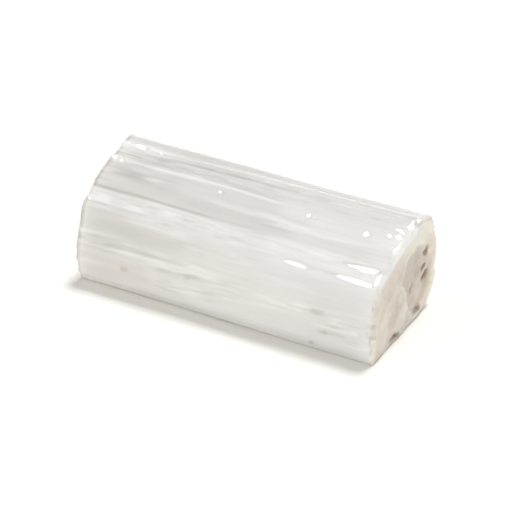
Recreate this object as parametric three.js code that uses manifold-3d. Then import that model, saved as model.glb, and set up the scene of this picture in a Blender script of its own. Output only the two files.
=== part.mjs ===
// A short log of selenite, grown as one piece and broken across its fibres at both ends.
// Millimetres, +Z up. X runs along the fibres, and -Y is the front.
import * as THREE from 'three';
import { mergeVertices } from 'three/addons/utils/BufferGeometryUtils.js';
import Module from 'manifold-3d';

const length = 102;
const stationCount = 18;

// The log's long edges, in order from the front foot up the front, over the top and down the back.
// Each runs straight from its [y, z] on the left end to its [y, z] on the right end.
const longEdges = [
  { name: 'front foot', left: [-21.5, 0.7], right: [-20.8, 0.7] },
  { name: 'front low', left: [-22.7, 4.2], right: [-20.2, 6] },
  { name: 'front belly', left: [-23.3, 8.6], right: [-19.5, 11] },
  { name: 'front middle', left: [-22.5, 13.4], right: [-19.1, 15.5] },
  { name: 'front high', left: [-20.7, 18], right: [-18.7, 20.2] },
  { name: 'bevel low', left: [-18.2, 25.5], right: [-17, 23.9] },
  { name: 'bevel high', left: [-13, 29.2], right: [-12.4, 28.4] },
  { name: 'top front', left: [-7, 32.3], right: [-6.9, 31.2] },
  { name: 'top middle', left: [-2, 34.2], right: [0, 32.6] },
  { name: 'top ridge', left: [3.6, 36.1], right: [10.5, 33.2] },
  { name: 'top back', left: [9.4, 37.2], right: [17.6, 31.2] },
  { name: 'back shoulder', left: [14.2, 34.4], right: [20.3, 27] },
  { name: 'back high', left: [19.6, 24.4], right: [22.6, 21] },
  { name: 'back belly', left: [20.8, 16], right: [23.1, 15.6] },
  { name: 'back low', left: [19.8, 8.6], right: [22.2, 9.6] },
  { name: 'back foot', left: [17.4, 3.6], right: [19.8, 4.4] },
  { name: 'back heel', left: [13.2, 0.9], right: [14.2, 0.7] },
  { name: 'rest back', left: [11, 0], right: [3.5, 0] },
  { name: 'rest front', left: [-21, 0], right: [-20.3, 0] },
  { name: 'front heel', left: [-21.4, 0.2], right: [-20.7, 0.2] },
];

// Ridges (height above zero) and grooves (below zero) along the fibres of the front and the top.
// `around` is the distance from the front foot, up and over, on the section half way along.
// One with no `from` starts at the left end, and one with no `to` runs out at the right end.
const frontAndTopRidges = [
  { around: 0.5, width: 1.6, height: 0.15 },
  { around: 1.9, width: 1.8, height: -0.08 },
  { around: 6.2, width: 3, height: -0.08, from: -24, to: 6 },
  { around: 8.9, width: 3.6, height: 0.08, to: 30 },
  { around: 11.2, width: 2.2, height: -0.12, from: 15 },
  { around: 12.1, width: 2.2, height: 0.16, to: -27 },
  { around: 12.7, width: 2, height: 0.16, from: 13, to: 26 },
  { around: 13.2, width: 1.6, height: -0.14, to: -24 },
  { around: 14.3, width: 2, height: 0.14, from: -42, to: 2 },
  { around: 15.5, width: 1.6, height: -0.14, to: -10 },
  { around: 16.8, width: 2.2, height: 0.16, to: 4 },
  { around: 19.7, width: 4.6, height: -0.08, to: -14 },
  { around: 23, width: 2, height: 0.16, to: -18 },
  { around: 24.7, width: 1.8, height: 0.2, from: 18 },
  { around: 25.4, width: 1.6, height: -0.12, to: -22 },
  { around: 27.2, width: 2.2, height: 0.1, to: 8 },
  { around: 29.3, width: 1.8, height: 0.12 },
  { around: 31.3, width: 2, height: -0.14, to: 6 },
  { around: 33.3, width: 2.4, height: 0.1, to: -12 },
  { around: 36.6, width: 3, height: 0.12, from: -16, to: 40 },
  { around: 39, width: 2.2, height: -0.16, from: -14 },
  { around: 39.9, width: 3.4, height: -0.22, to: -26 },
  { around: 43.6, width: 3, height: 0.28, to: 12 },
  { around: 46.3, width: 2.2, height: -0.2, to: -8 },
  { around: 48, width: 3.2, height: -0.16, from: -46, to: -32 },
  { around: 50.1, width: 1.8, height: -0.2, from: -24 },
  { around: 52.4, width: 2.4, height: 0.28 },
  { around: 54.6, width: 2.2, height: -0.12 },
];
const ridgeFade = 4;

// The faces between the ridges swell and sink a little along the log.
const swell = { height: 0.12, alongPace: 0.11, aroundPace: 0.37 };

// The back and the underside are ribbed in the same way, at an even pitch.
const backRibs = { start: 59.5, end: 93, pitch: 3.4, width: 2.6, height: 0.3 };
const restGrooves = { start: 100, end: 122, pitch: 4.6, width: 1.8, height: -0.25 };

const widestStrip = 2.2;
const narrowestStrip = 0.35;

// How unlike each other the ribs of a group are: their shift as a share of the pitch, the height of
// the lowest as a share of the tallest, and how many of them run the whole length.
const ribScatter = { shift: 0.4, lowest: 0.6, kinds: 3 };

// The broken ends bulge and dip a little, and are cut by ledges, pits and chips on the rim.
// Each end closes in rings, sized as shares of its rim, and the rim itself is bevelled.
const endCentre = { y: 0.5, z: 16.5 };
const endRings = [0.97, 0.86, 0.68, 0.48, 0.26];
const rimBevel = 0.5;
const endUnevenness = 0.25;
const slowBulge = { share: 0.35, yPace: 0.21, zPace: 0.27 };
const quickBulge = { share: 0.3, yPace: 0.52, zPace: 0.43 };

// A ledge is a sunk part of a broken end, drawn as its [y, z] outline.
const ledges = [
  {
    end: 1,
    depth: 0.8,
    outline: [
      [19.4, 17], [14.5, 22], [11, 24.5], [7.5, 26], [3.5, 25], [0.5, 23], [-1, 20], [-0.5, 16.5],
      [2.2, 10.6], [4, 6], [6.5, 3.4], [14, 4], [18, 7], [20.2, 12],
    ],
  },
  {
    end: -1,
    depth: 0.9,
    outline: [[-19, 9], [-18, 18], [-12, 24], [-4, 27], [-1, 22], [-5, 15], [-9, 9], [-13, 5]],
  },
  {
    end: -1,
    depth: 0.6,
    outline: [[6, 30.5], [12.5, 30], [15.5, 24], [14, 16], [9, 15], [6.5, 21]],
  },
];

// Pits are small hollows in a broken end. `sunk` is how deep the ledge below one lies.
const pits = [
  { end: 1, y: 15.3, z: 21.2, halfWidth: 1, halfHeight: 1.6, depth: 1.3, sunk: 0.8 },
  { end: 1, y: 13.9, z: 15.8, halfWidth: 1.3, halfHeight: 1.1, depth: 1, sunk: 0.8 },
  { end: 1, y: 15.4, z: 11.6, halfWidth: 1.8, halfHeight: 1.2, depth: 1.3, sunk: 0.8 },
  { end: 1, y: 9.3, z: 3, halfWidth: 2.3, halfHeight: 1, depth: 0.9, sunk: 0 },
  { end: 1, y: -6.4, z: 1.8, halfWidth: 2.6, halfHeight: 1, depth: 0.9, sunk: 0 },
  { end: -1, y: 10.5, z: 22.5, halfWidth: 1.1, halfHeight: 2, depth: 1.5, sunk: 0.6 },
  { end: -1, y: -11, z: 14, halfWidth: 1.8, halfHeight: 1.1, depth: 1.4, sunk: 0.9 },
  { end: -1, y: 2.6, z: 9, halfWidth: 1, halfHeight: 2.2, depth: 1.2, sunk: 0 },
];

// Bumps stand on a broken end in the same way.
const bumps = [
  { end: 1, y: 6, z: 12, radius: 1.4, height: 0.7, sunk: 0.8 },
  { end: -1, y: -3, z: 17, radius: 2.4, height: 0.25, sunk: 0 },
];

// Chips are scooped out of the rim of a broken end.
const chips = [
  { end: 1, around: 0.3, halfWidth: 1.3, depth: 0.8 },
  { end: 1, around: 3.4, halfWidth: 0.9, depth: 0.5 },
  { end: 1, around: 7.2, halfWidth: 1.3, depth: 0.6 },
  { end: 1, around: 12, halfWidth: 1.8, depth: 0.8 },
  { end: 1, around: 17.2, halfWidth: 1.2, depth: 0.6 },
  { end: 1, around: 21.4, halfWidth: 1.6, depth: 0.7 },
  { end: 1, around: 27, halfWidth: 2, depth: 0.8 },
  { end: 1, around: 32, halfWidth: 2.2, depth: 1.2 },
  { end: 1, around: 37.6, halfWidth: 1.5, depth: 0.9 },
  { end: 1, around: 43.6, halfWidth: 1.9, depth: 1.3 },
  { end: 1, around: 49.4, halfWidth: 2.3, depth: 1.5 },
  { end: 1, around: 66, halfWidth: 2.6, depth: 0.9 },
  { end: 1, around: 84, halfWidth: 2.2, depth: 1 },
  { end: -1, around: 0.5, halfWidth: 2.2, depth: 1.2 },
  { end: -1, around: 31.4, halfWidth: 1.5, depth: 0.5 },
  { end: -1, around: 47, halfWidth: 1.6, depth: 0.5 },
  { end: -1, around: 61, halfWidth: 2.8, depth: 1.5 },
  { end: -1, around: 80, halfWidth: 2, depth: 1.2 },
];
const chipStretch = 1.6;
const chipLift = 0.45;

// A dent on the top, away from the ends.
const dent = { x: 22.4, around: 41.6, halfLength: 1.5, halfWidth: 1, depth: 0.5 };

// How far a cutter reaches out past what it cuts.
const cutterReach = 4;

const wasm = await Module();
wasm.setup();

const mix = (a, b, t) => a + (b - a) * t;

// A repeatable number from 0 to 1 for each whole number.
function scatter(number) {
  const wave = Math.sin(number * 12.9898 + 4.1) * 43758.5453;
  return wave - Math.floor(wave);
}

// Distance around the section half way along, at each long edge, and all the way round.
function measureEdges() {
  const middle = longEdges.map(({ left, right }) => new THREE.Vector2(
    mix(left[0], right[0], 0.5),
    mix(left[1], right[1], 0.5),
  ));
  const distances = [0];
  middle.forEach((point, i) => {
    const next = middle[(i + 1) % middle.length];
    distances.push(distances[i] + point.distanceTo(next));
  });
  return distances;
}

const edgeDistances = measureEdges();
const girth = edgeDistances.at(-1);
const restStart = edgeDistances[longEdges.findIndex((edge) => edge.name === 'rest back')];
const restEnd = edgeDistances[longEdges.findIndex((edge) => edge.name === 'rest front')];

// A point of the plain section, without ridges, at a distance around and a share of the length.
function plainPoint(around, share) {
  const place = THREE.MathUtils.euclideanModulo(around, girth);
  const i = edgeDistances.findLastIndex((distance) => distance <= place);
  const part = (place - edgeDistances[i]) / (edgeDistances[i + 1] - edgeDistances[i]);
  const here = longEdges[i];
  const next = longEdges[(i + 1) % longEdges.length];
  const [y, z] = [0, 1].map((axis) => mix(
    mix(here.left[axis], here.right[axis], share),
    mix(next.left[axis], next.right[axis], share),
    part,
  ));
  return new THREE.Vector2(y, z);
}

// The outward direction of the section at a distance around it.
function outward(around, share) {
  const reach = 0.8;
  const before = plainPoint(around - reach, share);
  const after = plainPoint(around + reach, share);
  const along = after.sub(before).normalize();
  return new THREE.Vector2(-along.y, along.x);
}

function ribs({ start, end, pitch, width, height }) {
  const count = Math.floor((end - start) / pitch);
  const { shift, lowest, kinds } = ribScatter;
  return Array.from({ length: count }, (_, i) => ({
    around: start + (i + 0.5 + shift * (scatter(i + count) - 0.5)) * pitch,
    width,
    height: height * mix(lowest, 1, scatter(i * kinds + count)),
    from: i % kinds === 1 ? mix(-length / 2, 0, scatter(i + 2 * count)) : -length,
    to: i % kinds === 2 ? mix(0, length / 2, scatter(i + 3 * count)) : length,
  }));
}

const ridges = [...frontAndTopRidges, ...ribs(backRibs), ...ribs(restGrooves)];

// How much of a ridge there is at a place along the log: it fades in and out at its two ends.
function ridgeStrength({ from = -length, to = length }, x) {
  const rise = THREE.MathUtils.smoothstep(x, from - ridgeFade, from + ridgeFade);
  const fall = THREE.MathUtils.smoothstep(-x, -to - ridgeFade, -to + ridgeFade);
  return rise * fall;
}

function relief(around, x) {
  const wave = Math.sin(around * swell.aroundPace + x * swell.alongPace);
  return ridges.reduce((sum, ridge) => {
    const off = Math.abs(around - ridge.around) / (ridge.width / 2);
    return sum + Math.max(0, 1 - off) * ridge.height * ridgeStrength(ridge, x);
  }, swell.height * wave);
}

// Where the lengthwise lines of the mesh run: on each long edge, and on each ridge's crest and feet.
function meshLines() {
  const wanted = ridges
    .flatMap(({ around, width }) => [around - width / 2, around, around + width / 2])
    .filter((around) => edgeDistances.every((edge) => Math.abs(edge - around) > narrowestStrip))
    .concat(edgeDistances.slice(0, -1))
    .sort((a, b) => a - b);
  const apart = wanted.filter((around, i) => (
    edgeDistances.includes(around) || i === 0 || around - wanted[i - 1] > narrowestStrip
  ));
  return apart.flatMap((around, i) => {
    const gap = (apart[i + 1] ?? girth) - around;
    const parts = around >= restStart && around < restEnd ? 1 : Math.ceil(gap / widestStrip);
    return Array.from({ length: parts }, (_, part) => around + (gap * part) / parts);
  });
}

// How far a broken end lies inside the log's full length at a place on it.
function endInset(y, z, end) {
  const slow = Math.sin(y * slowBulge.yPace + end) + Math.cos(z * slowBulge.zPace + end * 2);
  const quick = Math.sin(y * quickBulge.yPace - z * quickBulge.zPace + end * 3);
  return endUnevenness * (1 + slowBulge.share * slow + quickBulge.share * quick);
}

function surfacePoint(around, share) {
  const plain = plainPoint(around, share);
  const height = relief(around, mix(-length / 2, length / 2, share));
  const { x: y, y: z } = plain.addScaledVector(outward(around, share), height);
  const grooved = height < -swell.height;
  const onUnderside = around >= restStart && around <= restEnd;
  const rested = onUnderside && !grooved ? 0 : Math.max(z, 0);
  const leftX = -length / 2 + endInset(y, rested, -1) + rimBevel;
  const rightX = length / 2 - endInset(y, rested, 1) - rimBevel;
  return new THREE.Vector3(mix(leftX, rightX, share), y, rested);
}

// The log before it is chipped: rings of points along it, then smaller rings that close each end.
function logGeometry() {
  const lines = meshLines();
  const ringOf = (share) => lines.map((around) => surfacePoint(around, share));
  const endRing = (end, size) => ringOf((end + 1) / 2).map((rim) => {
    const y = mix(endCentre.y, rim.y, size);
    const z = mix(endCentre.z, rim.z, size);
    return new THREE.Vector3(end * (length / 2 - endInset(y, z, end)), y, z);
  });
  const alongLog = Array.from({ length: stationCount }, (_, i) => ringOf(i / (stationCount - 1)));
  const rings = [
    ...endRings.map((size) => endRing(-1, size)).reverse(),
    ...alongLog,
    ...endRings.map((size) => endRing(1, size)),
  ];
  const centres = [-1, 1].map((end) => {
    const inset = endInset(endCentre.y, endCentre.z, end);
    return new THREE.Vector3(end * (length / 2 - inset), endCentre.y, endCentre.z);
  });
  const points = [...rings.flat(), ...centres];
  const perRing = lines.length;
  const index = [];
  for (let i = 0; i < perRing; i += 1) {
    const j = (i + 1) % perRing;
    for (let ring = 0; ring < rings.length - 1; ring += 1) {
      const [a, b] = [ring * perRing + i, ring * perRing + j];
      const [c, d] = [a + perRing, b + perRing];
      index.push(a, c, b, b, c, d);
    }
    const last = (rings.length - 1) * perRing;
    index.push(points.length - 2, i, j);
    index.push(points.length - 1, last + j, last + i);
  }
  const geometry = new THREE.BufferGeometry().setFromPoints(points);
  return geometry.setIndex(index);
}

function toSolid(geometry) {
  const bare = geometry.clone();
  bare.deleteAttribute('normal');
  bare.deleteAttribute('uv');
  const merged = mergeVertices(bare);
  return new wasm.Manifold(new wasm.Mesh({
    numProp: 3,
    vertProperties: new Float32Array(merged.attributes.position.array),
    triVerts: new Uint32Array(merged.index.array),
  }));
}

function toGeometry(solid) {
  const mesh = solid.getMesh();
  const geometry = new THREE.BufferGeometry();
  geometry.setAttribute('position', new THREE.BufferAttribute(mesh.vertProperties, 3));
  return geometry.setIndex(new THREE.BufferAttribute(mesh.triVerts, 1));
}

// The prism that sinks a ledge into a broken end.
function ledgeCutter({ end, depth, outline }) {
  const shape = new THREE.Shape(outline.map(([y, z]) => new THREE.Vector2(y, z)));
  const reach = depth + cutterReach;
  const prism = new THREE.ExtrudeGeometry(shape, { depth: reach, bevelEnabled: false });
  const axes = new THREE.Matrix4().makeBasis(
    new THREE.Vector3(0, 1, 0),
    new THREE.Vector3(0, 0, 1),
    new THREE.Vector3(1, 0, 0),
  );
  const inner = length / 2 - endUnevenness - depth;
  prism.applyMatrix4(axes);
  return prism.translate(end > 0 ? inner : -inner - reach, 0, 0);
}

function ellipsoid(halfX, halfY, halfZ) {
  return new THREE.IcosahedronGeometry(1, 1).scale(halfX, halfY, halfZ);
}

// An ellipsoid centred on the surface of a broken end.
function endSpot({ end, y, z, sunk }, halfWidth, halfHeight, depth) {
  const x = end * (length / 2 - endUnevenness - sunk);
  return ellipsoid(depth, halfWidth, halfHeight).translate(x, y, z);
}

function pitCutter(pit) {
  return endSpot(pit, pit.halfWidth, pit.halfHeight, pit.depth);
}

function bumpShape(bump) {
  return endSpot(bump, bump.radius, bump.radius, bump.height);
}

function chipCutter({ end, around, halfWidth, depth }) {
  const share = (end + 1) / 2;
  const rim = surfacePoint(around, share);
  const { x: sideY, y: sideZ } = outward(around, share);
  const lift = depth * chipLift;
  const cutter = ellipsoid(depth * chipStretch, halfWidth, depth);
  cutter.rotateX(Math.atan2(sideZ, sideY) - Math.PI / 2);
  return cutter.translate(rim.x + end * lift, rim.y + sideY * lift, rim.z + sideZ * lift);
}

function dentCutter() {
  const { x, around, halfLength, halfWidth, depth } = dent;
  const share = x / length + 0.5;
  const place = surfacePoint(around, share);
  const { x: sideY, y: sideZ } = outward(around, share);
  const cutter = ellipsoid(halfLength, halfWidth, depth);
  cutter.rotateX(Math.atan2(sideZ, sideY) - Math.PI / 2);
  return cutter.translate(place.x, place.y, place.z);
}

function crystalGeometry() {
  const cutters = [
    ...ledges.map(ledgeCutter),
    ...pits.map(pitCutter),
    ...chips.map(chipCutter),
    dentCutter(),
  ];
  const cut = cutters.reduce(
    (remaining, cutter) => remaining.subtract(toSolid(cutter)),
    toSolid(logGeometry()),
  );
  const solid = bumps.map(bumpShape).reduce((whole, bump) => whole.add(toSolid(bump)), cut);
  const geometry = toGeometry(solid);
  geometry.computeBoundingBox();
  const { min, max } = geometry.boundingBox;
  return geometry.translate(-(min.x + max.x) / 2, -(min.y + max.y) / 2, -min.z);
}

const crystal = new THREE.Mesh(
  crystalGeometry(),
  new THREE.MeshStandardMaterial({ color: '#e4e1dc', roughness: 0.35, metalness: 0 }),
);
crystal.name = 'crystal';

const group = new THREE.Group();
group.add(crystal);

export default group;
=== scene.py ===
import math

import bpy
import numpy as np
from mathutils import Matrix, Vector
from mathutils.geometry import delaunay_2d_cdt


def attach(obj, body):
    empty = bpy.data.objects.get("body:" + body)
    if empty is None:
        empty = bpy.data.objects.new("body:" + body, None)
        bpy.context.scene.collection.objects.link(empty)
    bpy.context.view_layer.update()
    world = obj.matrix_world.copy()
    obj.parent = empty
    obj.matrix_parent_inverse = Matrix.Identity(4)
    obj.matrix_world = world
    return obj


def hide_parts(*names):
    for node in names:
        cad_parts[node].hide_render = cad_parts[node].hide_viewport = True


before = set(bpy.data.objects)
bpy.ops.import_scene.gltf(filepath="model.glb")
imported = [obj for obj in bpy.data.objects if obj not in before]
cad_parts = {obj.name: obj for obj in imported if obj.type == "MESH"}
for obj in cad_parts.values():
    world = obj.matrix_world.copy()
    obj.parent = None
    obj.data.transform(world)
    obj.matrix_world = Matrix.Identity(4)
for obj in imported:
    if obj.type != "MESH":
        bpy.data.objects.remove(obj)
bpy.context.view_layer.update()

# A short log of fibrous selenite, milky and silky, broken across its fibres at both ends.
# The shape's values are those of the CAD solid, in millimetres; MM turns them into metres.
MM = 0.001
LENGTH = 102.0
SEED = 7

# Camera
CAMERA_AZIMUTH = 29.9
CAMERA_ELEVATION = 30.0
CAMERA_DISTANCE = 486.5
CAMERA_TARGET = (2.4, -3.0, 14.0)
CAMERA_LENS = 112.5
CAMERA_SENSOR = 36.0

# The log's long edges: (y, z) on the left end, (y, z) on the right end, from the front foot up the
# front, over the top, down the back and along the underside.
LONG_EDGES = {
    "front foot": ((-21.5, 0.7), (-20.8, 0.7)),
    "front low": ((-22.7, 4.2), (-20.2, 6.0)),
    "front belly": ((-23.3, 8.6), (-19.5, 11.0)),
    "front middle": ((-22.5, 13.4), (-19.1, 15.5)),
    "front high": ((-20.7, 18.0), (-18.7, 20.2)),
    "bevel low": ((-18.2, 25.5), (-17.0, 23.9)),
    "bevel high": ((-13.0, 29.2), (-12.4, 28.4)),
    "top front": ((-7.0, 32.3), (-6.9, 31.2)),
    "top middle": ((-2.0, 34.2), (0.0, 32.6)),
    "top ridge": ((3.6, 36.1), (10.5, 33.2)),
    "top back": ((9.4, 37.2), (17.6, 31.2)),
    "back shoulder": ((14.2, 34.4), (20.3, 27.0)),
    "back high": ((19.6, 24.4), (22.6, 21.0)),
    "back belly": ((20.8, 16.0), (23.1, 15.6)),
    "back low": ((19.8, 8.6), (22.2, 9.6)),
    "back foot": ((17.4, 3.6), (19.8, 4.4)),
    "back heel": ((13.2, 0.9), (14.2, 0.7)),
    "rest back": ((11.0, 0.0), (3.5, 0.0)),
    "rest front": ((-21.0, 0.0), (-20.3, 0.0)),
    "front heel": ((-21.4, 0.2), (-20.7, 0.2)),
}

# Ridges and grooves of the front and top: distance around from the front foot, width, height
# (below zero for a groove), where it starts and ends along the log.
FULL = LENGTH
RIDGES = [
    (0.5, 1.6, 0.15, -FULL, FULL),
    (1.9, 1.8, -0.08, -FULL, FULL),
    (6.2, 3.0, -0.08, -24, 6),
    (8.9, 3.6, 0.08, -FULL, 30),
    (11.2, 2.2, -0.12, 15, FULL),
    (12.1, 2.2, 0.16, -FULL, -27),
    (12.7, 2.0, 0.16, 13, 26),
    (13.2, 1.6, -0.14, -FULL, -24),
    (14.3, 2.0, 0.14, -42, 2),
    (15.5, 1.6, -0.14, -FULL, -10),
    (16.8, 2.2, 0.16, -FULL, 4),
    (19.7, 4.6, -0.08, -FULL, -14),
    (23.0, 2.0, 0.16, -FULL, -18),
    (24.7, 1.8, 0.2, 18, FULL),
    (25.4, 1.6, -0.12, -FULL, -22),
    (27.2, 2.2, 0.1, -FULL, 8),
    (29.3, 1.8, 0.12, -FULL, FULL),
    (31.3, 2.0, -0.14, -FULL, 6),
    (33.3, 2.4, 0.1, -FULL, -12),
    (36.6, 3.0, 0.12, -16, 40),
    (39.0, 2.2, -0.16, -14, FULL),
    (39.9, 3.4, -0.22, -FULL, -26),
    (43.6, 3.0, 0.28, -FULL, 12),
    (46.3, 2.2, -0.2, -FULL, -8),
    (48.0, 3.2, -0.16, -46, -32),
    (50.1, 1.8, -0.2, -24, FULL),
    (52.4, 2.4, 0.28, -FULL, FULL),
    (54.6, 2.2, -0.12, -FULL, FULL),
]
RIDGE_FADE = 4.0
# Paler and duller streaks inside the crystal, and bands of painted light and shade: distance around,
# width, where one starts and ends, tone (above zero for a paler one)
STREAKS_AND_PAINTED_LIGHT = [
    # Painted light: the three paler bands along the foot lift the shade where the log meets the floor
    (0.2, 5.0, -FULL, FULL, 3.6),
    (2.4, 8.0, -FULL, FULL, 1.4),
    (2.2, 3.6, -FULL, 42, 1.2),
    (9.0, 22.0, -FULL, -24, -0.5),
    (13.4, 4.0, -36, -14, 0.9),
    (12.6, 2.8, -20, 4, -1.5),
    (8.8, 2.4, -18, 10, -0.7),
    (14.6, 1.6, -26, 0, 1.0),
    (12.0, 26.0, -14, 30, 0.6),
    (8.6, 3.0, -48, -44, 0.5),
    (12.6, 1.4, -42, -18, -0.4),
    (14.0, 1.2, -46, -10, 1.0),
    (16.0, 1.2, -46, -24, -0.4),
    (16.9, 1.0, -50, -32, -0.9),
    (18.0, 1.2, -50, -36, 1.6),
    (20.6, 8.0, -FULL, -28, -0.35),
    (20.6, 8.0, -FULL, -8, -0.35),
    (23.0, 1.2, -32, -14, 0.8),
    # Painted light: the paler bands over the bevel, which faces the lights
    (27.4, 8.0, -FULL, FULL, 0.6),
    (27.4, 7.0, -10, 14, 0.3),
    (27.4, 7.0, 12, FULL, 1.5),
    (25.6, 1.2, -FULL, -28, -0.7),
    (24.0, 4.0, -FULL, -34, -0.6),
    (23.6, 5.0, 14, FULL, 0.9),
    (21.0, 4.0, 10, FULL, 0.4),
    # Painted highlight along the bevel's upper edge
    (30.1, 1.0, -FULL, -8, 1.4),
    (30.4, 4.0, -48, 12, -0.45),
    (30.8, 4.0, -FULL, -30, -0.6),
    # Painted shade in the step just above the bevel's upper edge
    (31.2, 1.2, -FULL, -8, -1.1),
    (33.5, 8.0, -FULL, -20, -0.4),
    (33.6, 1.2, -FULL, -48, -1.2),
    (36.2, 1.0, -FULL, -48, -1.0),
    (39.2, 1.4, -FULL, -47, -1.2),
    (47.4, 1.4, -FULL, -47, -1.2),
    (36.4, 2.6, -10, 42, 0.5),
    (37.8, 6.0, -46, -35, -1.5),
    (36.0, 5.0, -38, -22, -0.4),
    (43.6, 5.0, -43, -33, -1.2),
    (33.5, 9.0, -20, 18, -0.7),
    (39.0, 6.0, 22, FULL, 0.6),
    (42.5, 18.0, 12, FULL, 1.0),
    (43.5, 1.6, -FULL, 10, 1.5),
    (43.6, 5.0, -FULL, -45, 1.6),
    (43.9, 4.2, -FULL, -18, 0.8),
    # Painted sheen round the glints at the top left
    (52.8, 6.0, -FULL, -38, 1.9),
    # Painted shade: the broad duller bands over the top keep it, where the key light falls most, no
    # brighter than the front
    (42.0, 24.0, -FULL, -24, -0.4),
    (45.0, 30.0, -30, 16, -0.6),
    (45.0, 30.0, 16, FULL, -0.6),
    (49.0, 3.0, -20, 10, 0.5),
    (47.4, 6.0, -43, -33, -1.6),
    (50.0, 4.0, -36, -6, -0.8),
    (50.2, 4.0, 22, 46, 0.7),
    (47.0, 5.0, -10, 16, 0.4),
    (50.1, 1.6, -20, 46, -0.5),
    (52.6, 2.4, -FULL, -4, 0.8),
    # Painted shade at the top back corner of the right rim
    (52.0, 3.0, 47, FULL, -1.5),
    (52.5, 4.0, -30, 46, -0.7),
    (56.4, 5.0, -FULL, FULL, -0.9),
]
# Bands with short flecks in them: distance around, width, where one starts and ends, strength
FLECKS = [
    (15.5, 9.0, -FULL, -20, 0.6),
    (14.0, 10.0, -20, 8, 1.1),
    (11.0, 6.0, 6, 34, 1.0),
    # Painted glints: the pale flecks of the bevel band
    (27.3, 8.6, -FULL, FULL, 1.3),
    (48.0, 14.0, -FULL, -26, 0.7),
    (48.0, 14.0, -26, FULL, 0.4),
    (38.0, 10.0, -FULL, -28, 0.5),
    (7.0, 18.0, 32, FULL, 0.8),
    (8.0, 14.0, -22, 6, 0.9),
    (36.0, 8.0, 0, FULL, 0.5),
    (21.0, 8.0, -18, 20, 0.35),
    (70.0, 28.0, -FULL, FULL, 0.8),
    (92.0, 28.0, -FULL, FULL, 0.8),
]
# A fleck's size around and along, then for pale and for dull ones how far the noise has to go for
# one to start and to be full, and their tone
FLECK_SIZE = (0.8, 6.0)
PALE_FLECK = (0.2, 0.55, 1.7)
DULL_FLECK = (-0.35, -0.75, -1.1)
# The furthest that tones can add up to, and the width from which a streak isn't patchy
TONE_LIMIT, BROAD_STREAK = 2.4, 4.0
# Random streaks on the back: count, tone of the strongest, share of it that the weakest has, range
# of half lengths, range of widths
BACK_STREAK_COUNT, BACK_STREAK_TONE, WEAKEST_STREAK = 60, 0.7, 0.4
BACK_STREAK_HALF, BACK_STREAK_WIDTH = (8, 40), (0.8, 3.0)
# Brown specks: x, distance around, half length, half width, strength
SPECKS = [
    (-33.0, 9.0, 1.4, 1.4, 0.45),
    (-11.0, 11.4, 1.1, 1.1, 0.2),
    (31.5, 1.2, 1.1, 0.7, 0.5),
    (35.0, 5.2, 1.4, 1.0, 0.3),
    (50.3, 3.4, 0.5, 1.3, 0.4),
    (49.7, 6.4, 0.4, 1.8, 0.4),
    (48.6, 8.4, 0.3, 1.0, 0.25),
    (50.2, 11.0, 0.5, 1.8, 0.35),
    (49.6, 16.4, 0.4, 1.6, 0.3),
]
SPECK_SPREAD = 1.2
# Ribs of the back and grooves of the underside
BACK_START, BACK_END, BACK_PITCH = 59.5, 93.0, 3.4
BACK_WIDTH, BACK_HEIGHT = 2.6, 0.3
REST_START, REST_END, REST_PITCH = 100.0, 122.0, 4.6
REST_WIDTH, REST_HEIGHT = 1.8, -0.25
RIB_SHIFT, LOWEST_RIB, RIB_KINDS = 0.4, 0.6, 3
SWELL_HEIGHT, SWELL_ALONG, SWELL_AROUND = 0.12, 0.11, 0.37

# Finer relief that only this mesh has: narrow flutes, whose lean is where their crest lies
# between their two feet
FLUTE_COUNT, FLUTE_HEIGHT, LOWEST_FLUTE = 90, 0.035, 0.3
FLUTE_SPAN, FLUTE_HALF, FLUTE_WIDTH = 55, (4, 36), (0.8, 2.6)
FLUTE_LEANS = (0.14, 0.5, 0.86)
# Unevenness, each as amount, size around and size along
WAVES = [(0.08, 6.0, 26.0), (0.02, 2.2, 9.0), (0.008, 0.6, 10.0)]
WANDER = (0.4, 14, 24)
UNEVEN_RIDGES = (0.35, 3, 14)
PATCHY_STREAKS = (0.5, 3, 9)
UNEVEN_RIM = (0.35, 3, 50)
UNEVEN_FACETS = (0.35, 1.2, 2.5)
UNEVEN_LEFT_RIM = (0.4, 3, 20)
UNEVEN_TINT = (0.6, 1.6, 1.2)
NOISE_SPAN = 1.1 * LENGTH
EDGE_SOFTNESS = 0.7
# Painted highlights on the ridges' crests and painted shade in their grooves, as tone per millimetre of
# height
RIDGE_PAINTED_LIGHT_AND_SHADE = 0.8

# Broken ends
END_UNEVENNESS = 0.25
# Bulges: share of the unevenness, pace along y, pace along z
SLOW_BULGE = (0.35, 0.21, 0.27)
QUICK_BULGE = (0.3, 0.52, 0.43)
# How far in from an end its unevenness still moves the sides
END_REACH = 6.0
RIM_RADIUS, RIM_STEPS = 0.9, 6
# The straight rows start this many radii inside the end, past the widest part of the rim
RIM_MARGIN = 1.4
# Share of the rims' radius that is left on the underside
LOW_RIM_SHARE = 0.3
# Lumps of a broken face: height, size
LUMPS = [(0.34, 6.0), (0.18, 2.6), (0.04, 1.1)]
# How far ledges and pits are moved to and fro: reach, size
WOBBLES = [(0.7, 4.0), (0.35, 1.3)]
# Lowest y and z, and the span, of the grids that lumps and wobbles are drawn from
END_GRID_LOW, END_GRID_SPAN = (-27, -3), 60
# Width of a ledge's slope in front, how much it widens per millimetre behind LEDGE_EASE_FROM, the
# painted shade of the sunk part and the painted highlight of the edge above it
LEDGE_SLOPE, LEDGE_EASE, LEDGE_EASE_FROM = 1.0, 0.35, 5.0
SUNK_PAINTED_SHADE, EDGE_PAINTED_HIGHLIGHT, EDGE_WIDTH = -0.6, 0.6, 0.9
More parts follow.
